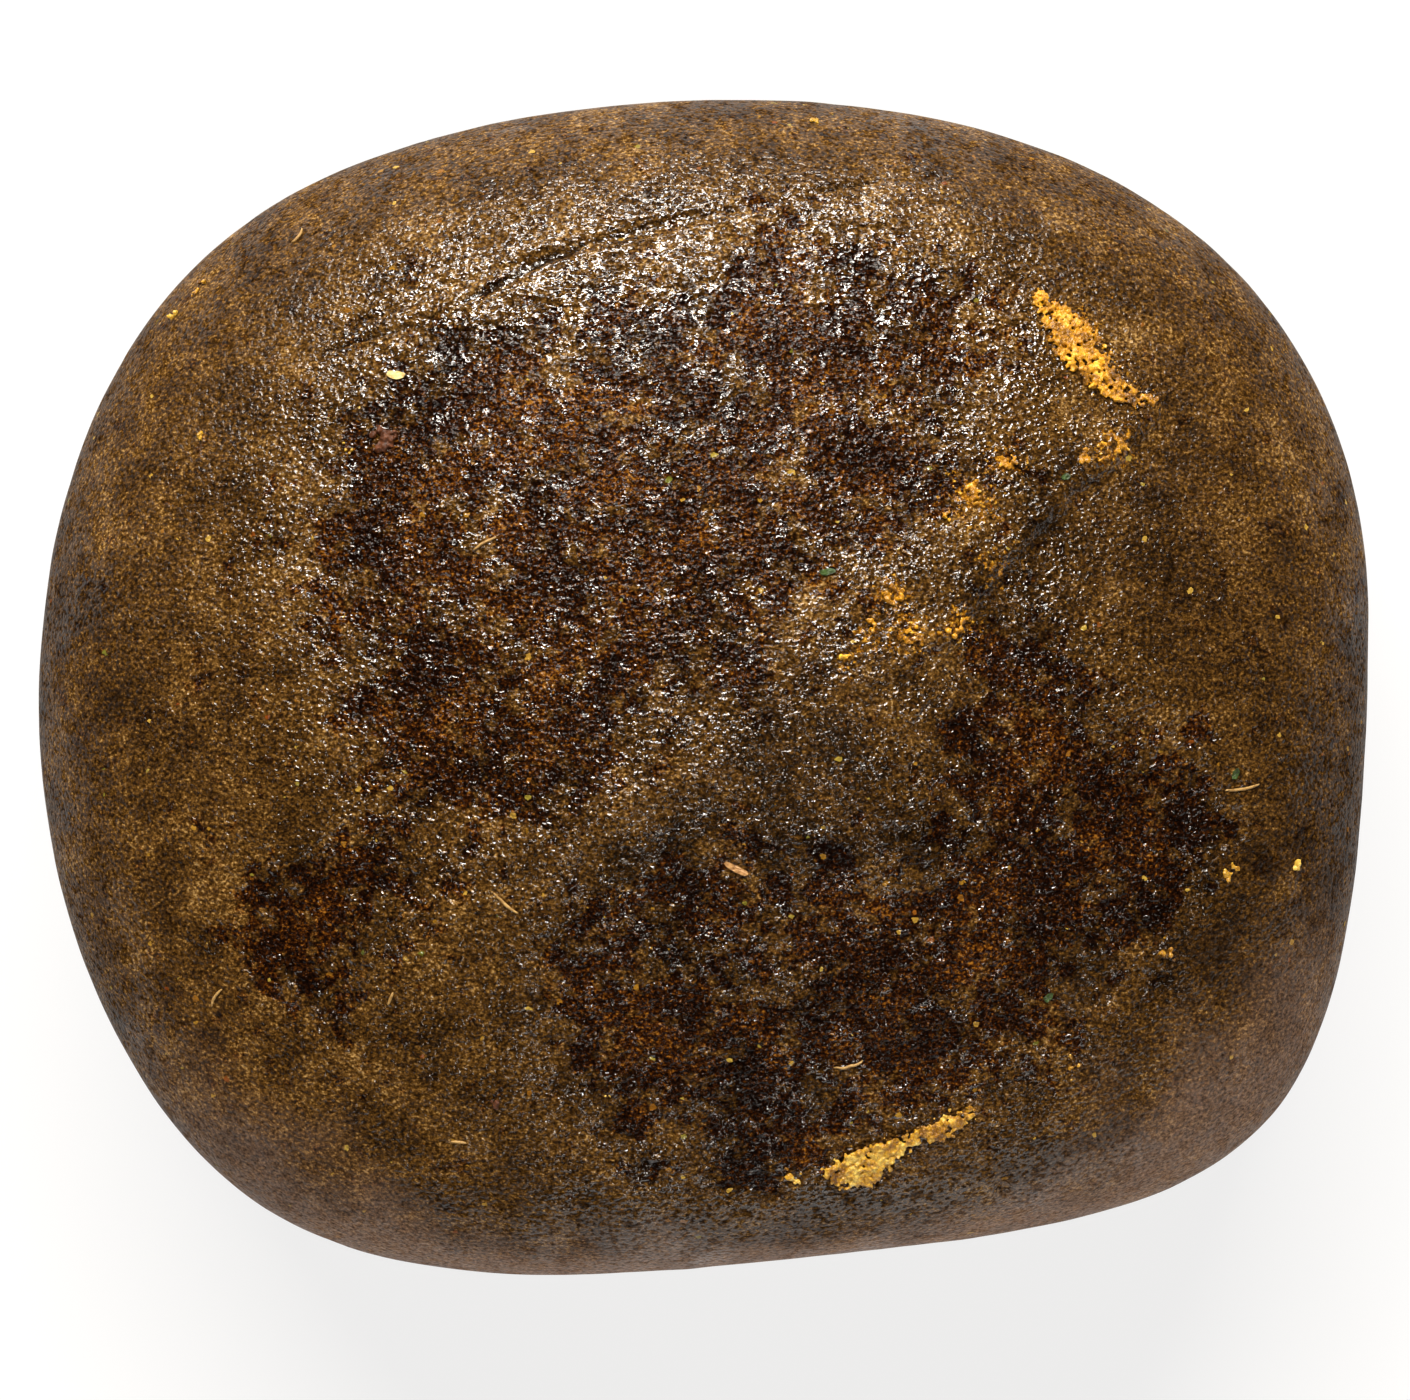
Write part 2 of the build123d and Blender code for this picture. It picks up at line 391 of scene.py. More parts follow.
def spots(points, kinds, ragged_by=0.8 * MM):
    """Adds up soft round spots with ragged edges."""
    drift = np.stack([clouds(points, 1.8 * MM, 2, seed) for seed in (3.3, 7.9, 5.1)], -1)
    ragged = points + ragged_by * drift
    total = np.zeros(len(points))
    for x, y, radius, strength in kinds:
        away = np.hypot(ragged[:, 0] - x * MM, ragged[:, 1] - y * MM)
        total += strength * np.exp(-((away / (radius * MM)) ** 2))
    return total


def floor_reflection(points):
    """How much painted reflection of the pale floor lies low on the rind's near side: 0 to 1."""
    rise = points[:, 2] / HEIGHT + 0.05 * clouds(points, 2.5 * MM, 2, 9.9)
    low_down = ease(0.8, 0.64, rise) * (0.3 + 0.7 * ease(0.4, 0.66, rise))
    return low_down * ease(7 * MM, 17 * MM, 0.12 * points[:, 0] - points[:, 1])


def worn(points, into):
    """Three measures of wear: where the rind gives way to the core, at 0.5; how raw and dark the
    surface is, from 0 to 1; and how glossy, from 0 on the rubbed sides to 1 on the bare top."""
    patches = clouds(points, 2.1 * MM, 4, 12.5)
    crumble = clouds(points, 0.8 * MM, 3, 5.5)
    edge = 0.5 + 0.5 * into / MM + 0.4 * patches + 0.5 * crumble
    rawness = 0.5 * patches + 0.4 * crumble + 0.55 * np.tanh(into / (1.8 * MM)) - 0.1
    raw = ease(-0.5, 0.7, rawness - 0.09 * below_fold(points) + spots(points, RAW_SPOTS))
    rise = points[:, 2] / HEIGHT
    gloss = ease(0.62, 0.9, rise + 0.08 * patches) * (0.65 + 0.35 * ease(-4 * MM, 1 * MM, into))
    gloss = np.clip(gloss + spots(points, GLOSS_SPOTS), 0, 1.5)
    return edge, raw, gloss


def give_look(piece, plain, raw, gloss):
    """Stores all that the grain's material reads, for each point of the cake's plain form. A
    piece with a lining has each point twice."""
    look = {
        "raw": raw,
        "gloss": gloss,
        "seam": seam_dark(plain),
        "floor_reflection": floor_reflection(plain),
        "gold": spots(plain, GOLD_SPOTS, 0.4 * MM),
        "shade": spots(plain, SHADE_SPOTS),
    }
    copies = len(piece.data.vertices) // len(plain)
    for name, values in look.items():
        give_values(piece, name, np.tile(values, copies))


# ---------------------------------------------------------------- rind and core

LINING_DEPTH = 1.9  # how many rinds deep the rind's hidden inside lies
OPEN_FROM = 2.2 * MM  # how far inside a window the rind is left out altogether
RIND_BLOCK = 6  # how many cells wide the lining's blocks are
CORNER = 0.07  # half the width of the map's corners that hold the base and the hidden faces


def lay_flat(piece, outside):
    """Gives a piece its own flat map, as if its skin were peeled open from the base. outside is
    how many of its points are on its outside. The base and the hidden faces lie in corners."""
    mesh = piece.data
    points = np.empty(3 * len(mesh.vertices))
    mesh.vertices.foreach_get("co", points)
    points = points.reshape(-1, 3)
    away = points - np.array(MIDDLE)
    away /= np.linalg.norm(away, axis=1, keepdims=True)
    reach = np.sqrt(1 - away[:, 2])
    level = np.maximum(np.hypot(away[:, 0], away[:, 1]), 1e-9)
    peeled = 0.5 + 0.5 * (reach / reach.max() / level)[:, None] * away[:, :2]

    corners = np.empty(len(mesh.loops), int)
    mesh.loops.foreach_get("vertex_index", corners)
    first, count = np.empty((2, len(mesh.polygons)), int)
    mesh.polygons.foreach_get("loop_start", first)
    mesh.polygons.foreach_get("loop_total", count)
    hidden = np.repeat(np.maximum.reduceat(corners, first) >= outside, count)
    base = np.repeat(count > 4, count) & ~hidden
    across = CORNER * (points[corners, :2] / HALF_LENGTH)
    place = np.where(hidden[:, None], 1 - CORNER + across, peeled[corners])
    place = np.where(base[:, None], CORNER + across, place)
    flat = mesh.uv_layers.new(name="OFBake")
    flat.uv.foreach_set("vector", place.astype(np.float32).ravel())


def without_loose_points(piece):
    """Drops the points that no face uses."""
    mesh = bmesh.new()
    mesh.from_mesh(piece.data)
    loose = [v for v in mesh.verts if not v.link_faces]
    bmesh.ops.delete(mesh, geom=loose, context="VERTS")
    mesh.to_mesh(piece.data)
    mesh.free()
    return piece


def skin_blocks(grid, into):
    """Which blocks of the grid's top the rind covers: all but those wholly in a window."""
    starts = range(0, grid.across, RIND_BLOCK)
    width = RIND_BLOCK + 1
    nearest = [[into[grid.top[i : i + width, j : j + width]].min() for j in starts] for i in starts]
    return np.array(nearest) < OPEN_FROM


def window_walls(grid, kept, lining):
    """Closes the shell wherever a kept block meets an open one. lining is the number of the
    lining's first point."""

    def wall(row):
        """One face from a row of the skin's points down to the lining."""
        return [*row[::-1].tolist(), lining + row[0], lining + row[-1]]

    walls = []
    last = len(kept) - 1
    for i, j in zip(*np.nonzero(kept)):
        x, y = i * RIND_BLOCK, j * RIND_BLOCK
        block = grid.top[x : x + RIND_BLOCK + 1, y : y + RIND_BLOCK + 1]
        if i > 0 and not kept[i - 1, j]:
            walls.append(wall(block[0][::-1]))
        if i < last and not kept[i + 1, j]:
            walls.append(wall(block[-1]))
        if j > 0 and not kept[i, j - 1]:
            walls.append(wall(block[:, 0]))
        if j < last and not kept[i, j + 1]:
            walls.append(wall(block[:, -1][::-1]))
    return walls


def build_rind(material):
    """A thin shell with its worn windows left open, and its edges feathered under the core."""
    across, down = ((300, 120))
    grid = CakeGrid(across, down)
    plain, into = grid.surface()
    out = outward(plain, np.vstack([grid.top_quads(), grid.side_quads()]))
    edge, raw, gloss = worn(plain, into)
    sunk = relief(plain, raw, into) + 1.5 * MM * np.maximum(edge - 0.5, 0)
    skin = plain - out * sunk[:, None]
    base_row = grid.side[-1]
    skin[base_row, 2] = 0
    lining = plain - out * RIND * LINING_DEPTH
    lining[:, 2] = np.maximum(lining[:, 2], RIND)

    kept = skin_blocks(grid, into)
    fine = np.kron(kept, np.ones((RIND_BLOCK, RIND_BLOCK), bool)).astype(bool).ravel()
    count = len(skin)
    faces = [*grid.top_quads()[fine].tolist(), *grid.side_quads().tolist(), base_row[::-1].tolist()]
    inner = [*grid.top_quads(RIND_BLOCK)[kept.ravel()].tolist()]
    inner += [*grid.side_quads(RIND_BLOCK).tolist(), base_row[::RIND_BLOCK][::-1].tolist()]
    faces += [[count + i for i in face[::-1]] for face in inner]
    faces += window_walls(grid, kept, count)
    verts = np.vstack([skin, lining])
    piece = make_piece("rind", verts, faces, material, "burnished_resin", ["burnished_rind"])
    lay_flat(piece, count)
    give_look(piece, plain, raw, gloss)
    return without_loose_points(piece)


def build_core(material):
    """The raw grainy mass: fine where it is bare, and plain under the rind."""
    across, down = ((400, 24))
    grid = CakeGrid(across, down, grading=1.7)
    plain, into = grid.surface()
    quads = np.vstack([grid.top_quads(), grid.side_quads()])
    out = outward(plain, quads)
    edge, raw, gloss = worn(plain, into)
    sunk = relief(plain, raw, into) + np.clip(0.6 * MM * (0.5 - edge), 0, RIND)
    grains = grit(plain, 0.42 * MM)
    sunk += 0.05 * MM * (1 - grains) * ease(-1 * MM, 1 * MM, into)
    body = plain - out * np.maximum(sunk, 0)[:, None]
    base_row = grid.side[-1]
    body[base_row, 2] = RIND
    body[:, 2] = np.maximum(body[:, 2], RIND)
    faces = [*quads.tolist(), base_row[::-1].tolist()]
    piece = make_piece("core", body, faces, material, "raw_resin", ["resin_core"])
    lay_flat(piece, len(body))
    give_look(piece, plain, raw, gloss)
    return piece


# ---------------------------------------------------------------- crumbs, flakes and fibres

# Where a crust stands highest: across, along and half its width there, all in mm
AMBER_RIDGE = [
    (10.4, 12.2, 0.25), (11.2, 11.4, 0.45), (12.0, 10.1, 0.5), (12.6, 9.2, 0.4), (14.0, 8.9, 0.1),
]
GOLD_RIDGE = [
    (3.8, -15.0, 0.2), (4.7, -15.0, 0.35), (5.4, -14.6, 0.3), (6.6, -14.0, 0.12),
    (7.4, -13.7, 0.2), (8.4, -13.1, 0.1),
]


def islands(name):
    """Each loose piece of a CAD node: its middle, its axes from long to thin, and half sizes."""
    mesh = bmesh.new()
    mesh.from_mesh(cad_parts[name].data)
    bmesh.ops.remove_doubles(mesh, verts=mesh.verts, dist=0.0001 * MM)
    mesh.verts.ensure_lookup_table()
    seen, found = set(), []
    for first in mesh.verts:
        if first.index in seen:
            continue
        seen.add(first.index)
        group = [first]
        for vert in group:
            for edge in vert.link_edges:
                other = edge.other_vert(vert)
                if other.index not in seen:
                    seen.add(other.index)
                    group.append(other)
        points = np.array([v.co for v in group])
        axes = np.linalg.eigh(np.cov((points - points.mean(0)).T))[1].T[::-1].copy()
        axes[2] *= np.sign(axes[2, 2]) or 1
        axes[1] = np.cross(axes[2], axes[0])
        reach = points @ axes.T
        middle = ((reach.max(0) + reach.min(0)) / 2) @ axes
        found.append((middle, axes, (reach.max(0) - reach.min(0)) / 2))
    mesh.free()
    return found


def outside_of(pieces):
    """Some pieces as one searchable surface."""
    whole = bmesh.new()
    for piece in pieces:
        whole.from_mesh(piece.data)
    surface = BVHTree.FromBMesh(whole)
    whole.free()
    return surface


def ground_at(point):
    """Where the finished cake's outside lies straight out from its middle through a point, and
    the direction out of it."""
    heading = (Vector(point) - MIDDLE).normalized()
    ground, normal, _, _ = SURFACE.ray_cast(MIDDLE + heading * FAR, -heading)
    return ground, normal


def points_on(name, per_mm2):
    """Random points spread evenly over the upper faces of a CAD node."""
    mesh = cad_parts[name].data
    mesh.calc_loop_triangles()
    points = []
    for triangle in mesh.loop_triangles:
        if triangle.normal.z < 0.3:
            continue
        a, b, c = (np.array(mesh.vertices[i].co) for i in triangle.vertices)
        for _ in range(rng.poisson(triangle.area / MM**2 * per_mm2)):
            u, v = rng.random(2)
            if u + v > 1:
                u, v = 1 - u, 1 - v
            points.append(a + u * (b - a) + v * (c - a))
    return np.array(points).reshape(-1, 3)


def rough_lumps(count=9):
    """A few angular lumps about 1 in radius, each as its corners and its faces."""
    lumps = []
    for _ in range(count):
        mesh = bmesh.new()
        for p in rng.normal(size=(16, 3)):
            mesh.verts.new(p / np.linalg.norm(p) * rng.uniform(0.75, 1.0))
        bmesh.ops.convex_hull(mesh, input=mesh.verts)
        bmesh.ops.delete(mesh, geom=[v for v in mesh.verts if not v.link_faces], context="VERTS")
        bmesh.ops.recalc_face_normals(mesh, faces=mesh.faces)
        mesh.verts.index_update()
        corners = np.array([v.co for v in mesh.verts])
        lumps.append((corners, [[v.index for v in face.verts] for face in mesh.faces]))
        mesh.free()
    return lumps


LUMPS = rough_lumps()


def pile(places, sizes):
    """Corners and faces of one rough lump at each place, turned at random."""
    verts, faces, start = [], [], 0
    for place, size in zip(places, sizes):
        corners, sides = LUMPS[rng.integers(len(LUMPS))]
        turn = np.linalg.qr(rng.normal(size=(3, 3)))[0]
        turn *= np.linalg.det(turn)
        verts.append(corners @ turn.T * size + place)
        faces += [[start + i for i in side] for side in sides]
        start += len(corners)
    return np.vstack(verts), faces


def fused(piece, voxel=0.035 * MM):
    """Melts a piece's overlapping lumps into one closed skin."""
    remesh = piece.modifiers.new("fuse", "REMESH")
    remesh.mode = "VOXEL"
    remesh.voxel_size = voxel
    remesh.use_smooth_shade = False
    graph = bpy.context.evaluated_depsgraph_get()
    whole = bpy.data.meshes.new_from_object(piece.evaluated_get(graph))
    piece.modifiers.remove(remesh)
    whole.materials.clear()
    whole.materials.append(piece.data.materials[0])
    piece.data = whole
    return piece


def crumbled(node_name, material, slot, per_mm2, grain, stray, lift, gaps=-math.inf, ridge=None):
    """Broken resin in a CAD node's place. Its grains are from the first to the second of grain
    in radius, and half of them stray. lift is how much of the node's height they keep, and the
    higher gaps is, the barer the place. A ridge gathers them along a few points, each with how
    wide the ridge is there. Sizes are in mm."""
    on_top = points_on(node_name, per_mm2)
    smallest, largest = grain[0] * MM, grain[1] * MM
    astray = rng.normal(size=on_top.shape) * (stray * MM) * (rng.random((len(on_top), 1)) < 0.5)
    places, sizes = [], []
    patchy = clouds(on_top, 1.3 * MM, 2, 7.7) + 0.5 * rng.normal(size=len(on_top))
    if ridge:
        line = curve_through(np.array(ridge)[:, :2] * MM)
        width = curve_through(np.array(ridge)[:, 2:] * MM)[:, 0]
        left, along = beside(on_top, line)
        reach = np.interp(along, np.linspace(0, 1, len(width)), width)
        patchy -= 2 * np.maximum(np.abs(left) / reach - 1, 0)
    for point, off, here in zip(on_top, astray, patchy):
        if here < gaps:
            continue
        ground, normal = ground_at(point + off)
        size = rng.uniform(smallest, largest) * math.exp(-np.linalg.norm(off) / (0.5 * MM))
        raised = max(0.0, (Vector(point + off) - ground).dot(normal)) * lift
        places.append(ground + normal * (raised - 0.3 * size))
        sizes.append(size)
    piece = make_piece(node_name + "_broken", *pile(places, sizes), material, slot, [node_name])
    return fused(piece)


def lay_flakes(node_name, material, slot, lobes=0.0):
    """Thin ragged flakes of leaf, straw or chaff, lying on the cake. lobes is how much each is
    drawn in at its waist."""
    corners = 14
    turn = np.arange(corners) / corners * 2 * math.pi
    verts, faces = [], []
    for middle, axes, half in islands(node_name):
        ground, normal = ground_at(middle)
        along = Vector(axes[0])
        along = (along - normal * along.dot(normal)).normalized()
        across = normal.cross(along)
        wide = rng.uniform(0.72, 1.0, corners) * (1 - lobes * np.sin(turn) ** 2)
        breadth = max(half[1], half[2])
        rim = np.stack([np.cos(turn) * wide * half[0], np.sin(turn) * wide * breadth], -1)
        thick = max(0.045 * MM, 0.4 * min(half[1], half[2]))
        start = len(verts)
        for level, share in ((-1, 0), (-1, 1), (1, 1), (1, 0.55), (1, 0)):
            for x, y in rim * share if share else rim[:1] * 0:
                curl = 0.25 * half[0] * (x / half[0]) ** 2
                curl += rng.uniform(-0.3, 0.3) * thick * (level > 0)
                up = level * thick / 2 + 0.5 * thick + curl
                verts.append(ground + along * x + across * y + normal * up)
        rings = [start, *(start + 1 + n * corners for n in range(4))]
        for i in range(corners):
            j = (i + 1) % corners
            faces.append([rings[0], rings[1] + j, rings[1] + i])
            for low, high in ((rings[1], rings[2]), (rings[2], rings[3])):
                faces.append([low + i, low + j, high + j, high + i])
            faces.append([rings[3] + i, rings[3] + j, rings[4]])
    name = node_name + "_laid"
    return make_piece(name, verts, faces, material, slot, [node_name], smooth=False)


def lay_fibres(node_name, material, slot):
    """Thin bent fibres that lie along the surface and taper at both ends."""
    verts, faces = [], []
    sides, rings = 6, 11
    for middle, axes, half in islands(node_name):
        bend = rng.uniform(-0.35, 0.35) * half[0]
        radius = min(half[1], 0.05 * MM)
        start = len(verts)
        for t in np.linspace(-1, 1, rings):
            point = Vector(middle + axes[0] * half[0] * t + axes[1] * bend * (t * t - 0.4))
            ground, normal = ground_at(point)
            across = normal.cross(Vector(axes[0])).normalized()
            r = radius * (0.35 + 0.65 * math.sqrt(1 - 0.98 * t * t))
            for k in range(sides):
                a = 2 * math.pi * k / sides
                up = 0.5 * radius + r * math.sin(a)
                verts.append(ground + normal * up + across * r * math.cos(a))
        for i in range(rings - 1):
            for k in range(sides):
                a, b = start + i * sides, (k + 1) % sides
                faces.append([a + k, a + b, a + sides + b, a + sides + k])
        faces.append([start + k for k in range(sides)][::-1])
        faces.append([start + (rings - 1) * sides + k for k in range(sides)])
    return make_piece(node_name + "_laid", verts, faces, material, slot, [node_name])


# ---------------------------------------------------------------- materials

SKIN_STOPS = [
    (0.0, "#140b04"), (0.3, "#2d1c09"), (0.55, "#4a3111"), (0.8, "#6c4c21"), (1.0, "#a2804c"),
]
RAW_STOPS = [
    (0.0, "#060201"), (0.4, "#150803"), (0.65, "#321706"), (0.85, "#5e350b"), (1.0, "#8a5a1c"),
]
GOLD_DUST_STOPS = [(0.0, "#341a05"), (0.45, "#7a4a0c"), (0.75, "#bc8420"), (1.0, "#ecc050")]
SPECK_STOPS = [(0.0, "#6e3410"), (0.4, "#8a621c"), (0.75, "#b0903e"), (1.0, "#565a1c")]
AMBER_STOPS = [(0.0, "#3a2206"), (0.3, "#8a5a0c"), (0.6, "#d09018"), (1.0, "#fad048")]
GOLDEN_STOPS = [(0.0, "#402406"), (0.35, "#8c5c10"), (0.65, "#d09c2c"), (1.0, "#f8dc70")]
PALE_STOPS = [(0.0, "#8a6418"), (0.4, "#c89a30"), (0.75, "#e0bc50"), (1.0, "#f4dc84")]
# Painted reflection of the pale floor low down, and painted shade in the open seam's gap.
FLOOR_REFLECTION_COLOUR, SEAM_GAP_SHADE = "#aa8c7a", "#0c0502"
COLOUR_A, COLOUR_B, MIXED_COLOUR = 6, 7, 2  # a mix node's sockets for colours


def colour(text):
    """An sRGB hex colour as the linear colour that a shader takes."""
    parts = [int(text[i : i + 2], 16) / 255 for i in (1, 3, 5)]
    return (*[c / 12.92 if c <= 0.04045 else ((c + 0.055) / 1.055) ** 2.4 for c in parts], 1)


def per(size_mm):
    """The scale at which a pattern repeats once in this many millimetres."""
    return 1 / (size_mm * MM)


def node(tree, kind, inputs=None, stops=(), **settings):
    """Adds a node, sets its properties and the colours of its ramp, and sets or links its
    inputs. An input given as a node takes that node's first output."""
    made = tree.nodes.new(kind)
    for n, (place, text) in enumerate(stops):
        stop = made.color_ramp.elements[n] if n < 2 else made.color_ramp.elements.new(place)
        stop.position, stop.color = place, colour(text)
    for key, value in settings.items():
        setattr(made, key, value)
    for key, value in (inputs or {}).items():
        if isinstance(value, bpy.types.Node):
            value = value.outputs[0]
        if isinstance(value, bpy.types.NodeSocket):
            tree.links.new(value, made.inputs[key])
        else:
            made.inputs[key].default_value = value
    return made


def new_material(name):
    """An empty material: its tree, its shader and its coordinates in metres."""
    material = bpy.data.materials.new(name)
    material.use_nodes = True
    tree = material.node_tree
    tree.nodes.clear()
    shader = node(tree, "ShaderNodeBsdfPrincipled")
    node(tree, "ShaderNodeOutputMaterial", {"Surface": shader})
    where = node(tree, "ShaderNodeTexCoord").outputs["Object"]
    return material, tree, shader, where


def grain_colour(tree, where, drawn, look):
    """Dark crushed resin, paler where the rind is and darker at the shade spots, with specks of
    plant and broken resin, gold dust where the crusts shed it, painted reflection of the pale floor
    low down, and painted shade in the open seam's gap."""
    fine = node(
        tree, "ShaderNodeTexNoise",
        {"Vector": drawn, "Scale": per(0.1), "Detail": 2, "Roughness": 0.7},
    )
    fine = node(tree, "ShaderNodeMapRange", {"Value": fine, "From Min": 0.28, "From Max": 0.72})
    patches = node(
        tree, "ShaderNodeTexNoise",
        {"Vector": where, "Scale": per(1.9), "Detail": 5, "Roughness": 0.7},
    )
    mottle = node(
        tree, "ShaderNodeMapRange",
        {"Value": patches, "From Min": 0.3, "From Max": 0.7, "To Min": -0.25, "To Max": 0.25},
    )
    tone = node(tree, "ShaderNodeMath", {0: fine, 1: mottle}, operation="ADD")
    # Darker at the shade spots: painted shadow below the fold's ridge, painted shade on the left
    # and right edges, and other darker patches.
    shaded = {0: look["shade"], 1: -0.35, 2: tone}
    tone = node(tree, "ShaderNodeMath", shaded, operation="MULTIPLY_ADD")
    skin = node(tree, "ShaderNodeValToRGB", {0: tone}, stops=SKIN_STOPS)
    bare = node(tree, "ShaderNodeValToRGB", {0: tone}, stops=RAW_STOPS)

    crumbs = node(
        tree, "ShaderNodeTexNoise",
        {"Vector": where, "Scale": per(0.65), "Detail": 4, "Roughness": 0.7},
    )
    crumbs = node(
        tree, "ShaderNodeMapRange",
        {"Value": crumbs, "From Min": 0.35, "From Max": 0.65, "To Min": -0.6, "To Max": 0.6},
    )
    rawness = node(tree, "ShaderNodeMath", {0: look["raw"], 1: crumbs}, operation="ADD")
    rawness = node(
        tree, "ShaderNodeMapRange", {"Value": rawness, "From Min": 0.3, "From Max": 0.7}
    )

    stir = node(tree, "ShaderNodeTexNoise", {"Vector": where, "Scale": per(0.15)})
    stirred = node(
        tree, "ShaderNodeVectorMath",
        {0: stir.outputs["Color"], 1: (0.2 * MM,) * 3, 2: drawn}, operation="MULTIPLY_ADD",
    )
    specks = node(tree, "ShaderNodeTexVoronoi", {"Vector": stirred, "Scale": per(0.4)})
    pick = node(tree, "ShaderNodeSeparateColor", {0: specks.outputs["Color"]}).outputs
    kinds = node(tree, "ShaderNodeValToRGB", {0: pick[1]}, stops=SPECK_STOPS)
    size = node(
        tree, "ShaderNodeMapRange",
        {"Value": pick[0], "From Min": 0.82, "From Max": 1.0, "To Min": 0.0, "To Max": 0.24},
    )
    in_speck = {0: specks.outputs["Distance"], 1: size}
    speckled = node(tree, "ShaderNodeMath", in_speck, operation="LESS_THAN")

    dust = node(
        tree, "ShaderNodeTexNoise",
        {"Vector": where, "Scale": per(0.24), "Detail": 3, "Roughness": 0.75},
    )
    dust = node(
        tree, "ShaderNodeMapRange",
        {"Value": dust, "From Min": 0.35, "From Max": 0.65, "To Min": -1.4, "To Max": 0.1},
    )
    dust = node(tree, "ShaderNodeMath", {0: look["gold"], 1: dust}, operation="ADD")
    dust = node(
        tree, "ShaderNodeMapRange",
        {"Value": dust, "From Min": 0.1, "From Max": 0.4, "To Min": 0.0, "To Max": 0.9},
    )
    golden = node(tree, "ShaderNodeValToRGB", {0: fine}, stops=GOLD_DUST_STOPS)
    between = node(tree, "ShaderNodeMath", {0: fine, 1: 0.6, 2: 0.1}, operation="MULTIPLY_ADD")
    # Painted reflection of the pale floor, low down on the near side.
    reflection_share = node(tree, "ShaderNodeMath", {0: look["floor_reflection"], 1: between}, operation="MULTIPLY")
    # Painted shade in the open seam's gap.
    seam_gap_shading = node(
        tree, "ShaderNodeMapRange",
        {"Value": look["seam"], "From Min": 0.2, "From Max": 0.8, "To Min": 0.0, "To Max": 0.85},
    )

    mixed = skin
    for share, over in (
        (rawness, bare),
        (speckled, kinds),
        (dust, golden),
        (reflection_share, colour(FLOOR_REFLECTION_COLOUR)),
        (seam_gap_shading, colour(SEAM_GAP_SHADE)),
    ):
        layers = {0: share, COLOUR_A: mixed, COLOUR_B: over}
        mixed = node(tree, "ShaderNodeMix", layers, data_type="RGBA").outputs[MIXED_COLOUR]
    return mixed


def grain_shine(tree, where, drawn, look, shader):
    """Ripples about 0.16 mm apart, each of which catches the light by itself, and no shine in
    the hollows between them or in scattered pits."""
    gloss = look["gloss"]
    ripple = node(
        tree, "ShaderNodeTexNoise",
        {"Vector": drawn, "Scale": per(0.16), "Detail": 1.5, "Roughness": 0.5},
    )
    depth = node(tree, "ShaderNodeMapRange", {"Value": gloss, "To Min": 0.5, "To Max": 1.0})
    rubbed = node(
        tree, "ShaderNodeMapRange",
        {"Value": gloss, "From Min": 1.0, "From Max": 1.5, "To Min": 1.0, "To Max": 0.7},
    )
    depth = node(tree, "ShaderNodeMath", {0: depth, 1: rubbed}, operation="MULTIPLY")
    relief_of_it = {"Height": ripple, "Strength": depth, "Distance": 0.12 * MM}
    bump = node(tree, "ShaderNodeBump", relief_of_it)
    tree.links.new(bump.outputs[0], shader.inputs["Normal"])

    pits = node(
        tree, "ShaderNodeTexNoise",
        {"Vector": where, "Scale": per(0.5), "Detail": 2, "Roughness": 0.6},
    )
    rawer = {0: look["raw"], 1: 0.18, 2: pits}
    pits = node(tree, "ShaderNodeMath", rawer, operation="MULTIPLY_ADD")
    pits = node(tree, "ShaderNodeMapRange", {"Value": pits, "From Min": 0.54, "From Max": 0.62})
    rough = node(tree, "ShaderNodeMapRange", {"Value": gloss, "To Min": 0.46, "To Max": 0.06})
    rough = node(tree, "ShaderNodeMath", {0: pits, 1: 0.06, 2: rough}, operation="MULTIPLY_ADD")
    tree.links.new(rough.outputs[0], shader.inputs["Roughness"])

    hollows = node(
        tree, "ShaderNodeMapRange",
        {"Value": ripple, "From Min": 0.4, "From Max": 0.48, "To Min": 0.05, "To Max": 1.0},
    )
    level = node(
        tree, "ShaderNodeMapRange",
        {"Value": gloss, "From Max": 1.35, "To Min": 0.06, "To Max": 1.0},
    )
    level = node(tree, "ShaderNodeMath", {0: level, 1: hollows}, operation="MULTIPLY")
    unpitted = node(tree, "ShaderNodeMath", {0: pits, 1: -0.85, 2: 1.0}, operation="MULTIPLY_ADD")
    level = node(tree, "ShaderNodeMath", {0: level, 1: unpitted}, operation="MULTIPLY")
    tree.links.new(level.outputs[0], shader.inputs["Specular IOR Level"])


def pressed_grain(tree, where, shader):
    """The grain that the bare and the burnished resin share: crushed resin and plant hair,
    drawn out a little along X. The rawer the surface is, the darker, rougher and glossier."""
    names = ("raw", "gold", "gloss", "shade", "floor_reflection", "seam")
    look = {
        name: node(tree, "ShaderNodeAttribute", attribute_name=name).outputs["Fac"]
        for name in names
    }
    drawn = node(tree, "ShaderNodeVectorMath", {0: where, 1: (0.85, 1, 1)}, operation="MULTIPLY")
    tree.links.new(grain_colour(tree, where, drawn, look), shader.inputs["Base Color"])
    grain_shine(tree, where, drawn, look, shader)


def pressed_raw_resin():
    """Raw plant resin, pressed: dark and glossy like treacle, each grain catching the light."""
    material, tree, shader, where = new_material("pressed raw resin")
    pressed_grain(tree, where, shader)
    shader.inputs["IOR"].default_value = 1.54
    return material


def burnished_resin():
    """The same resin rubbed smooth by hands: flatter grains, and a duller shine."""
    material, tree, shader, where = new_material("burnished resin")
    pressed_grain(tree, where, shader)
    shader.inputs["IOR"].default_value = 1.5
    return material


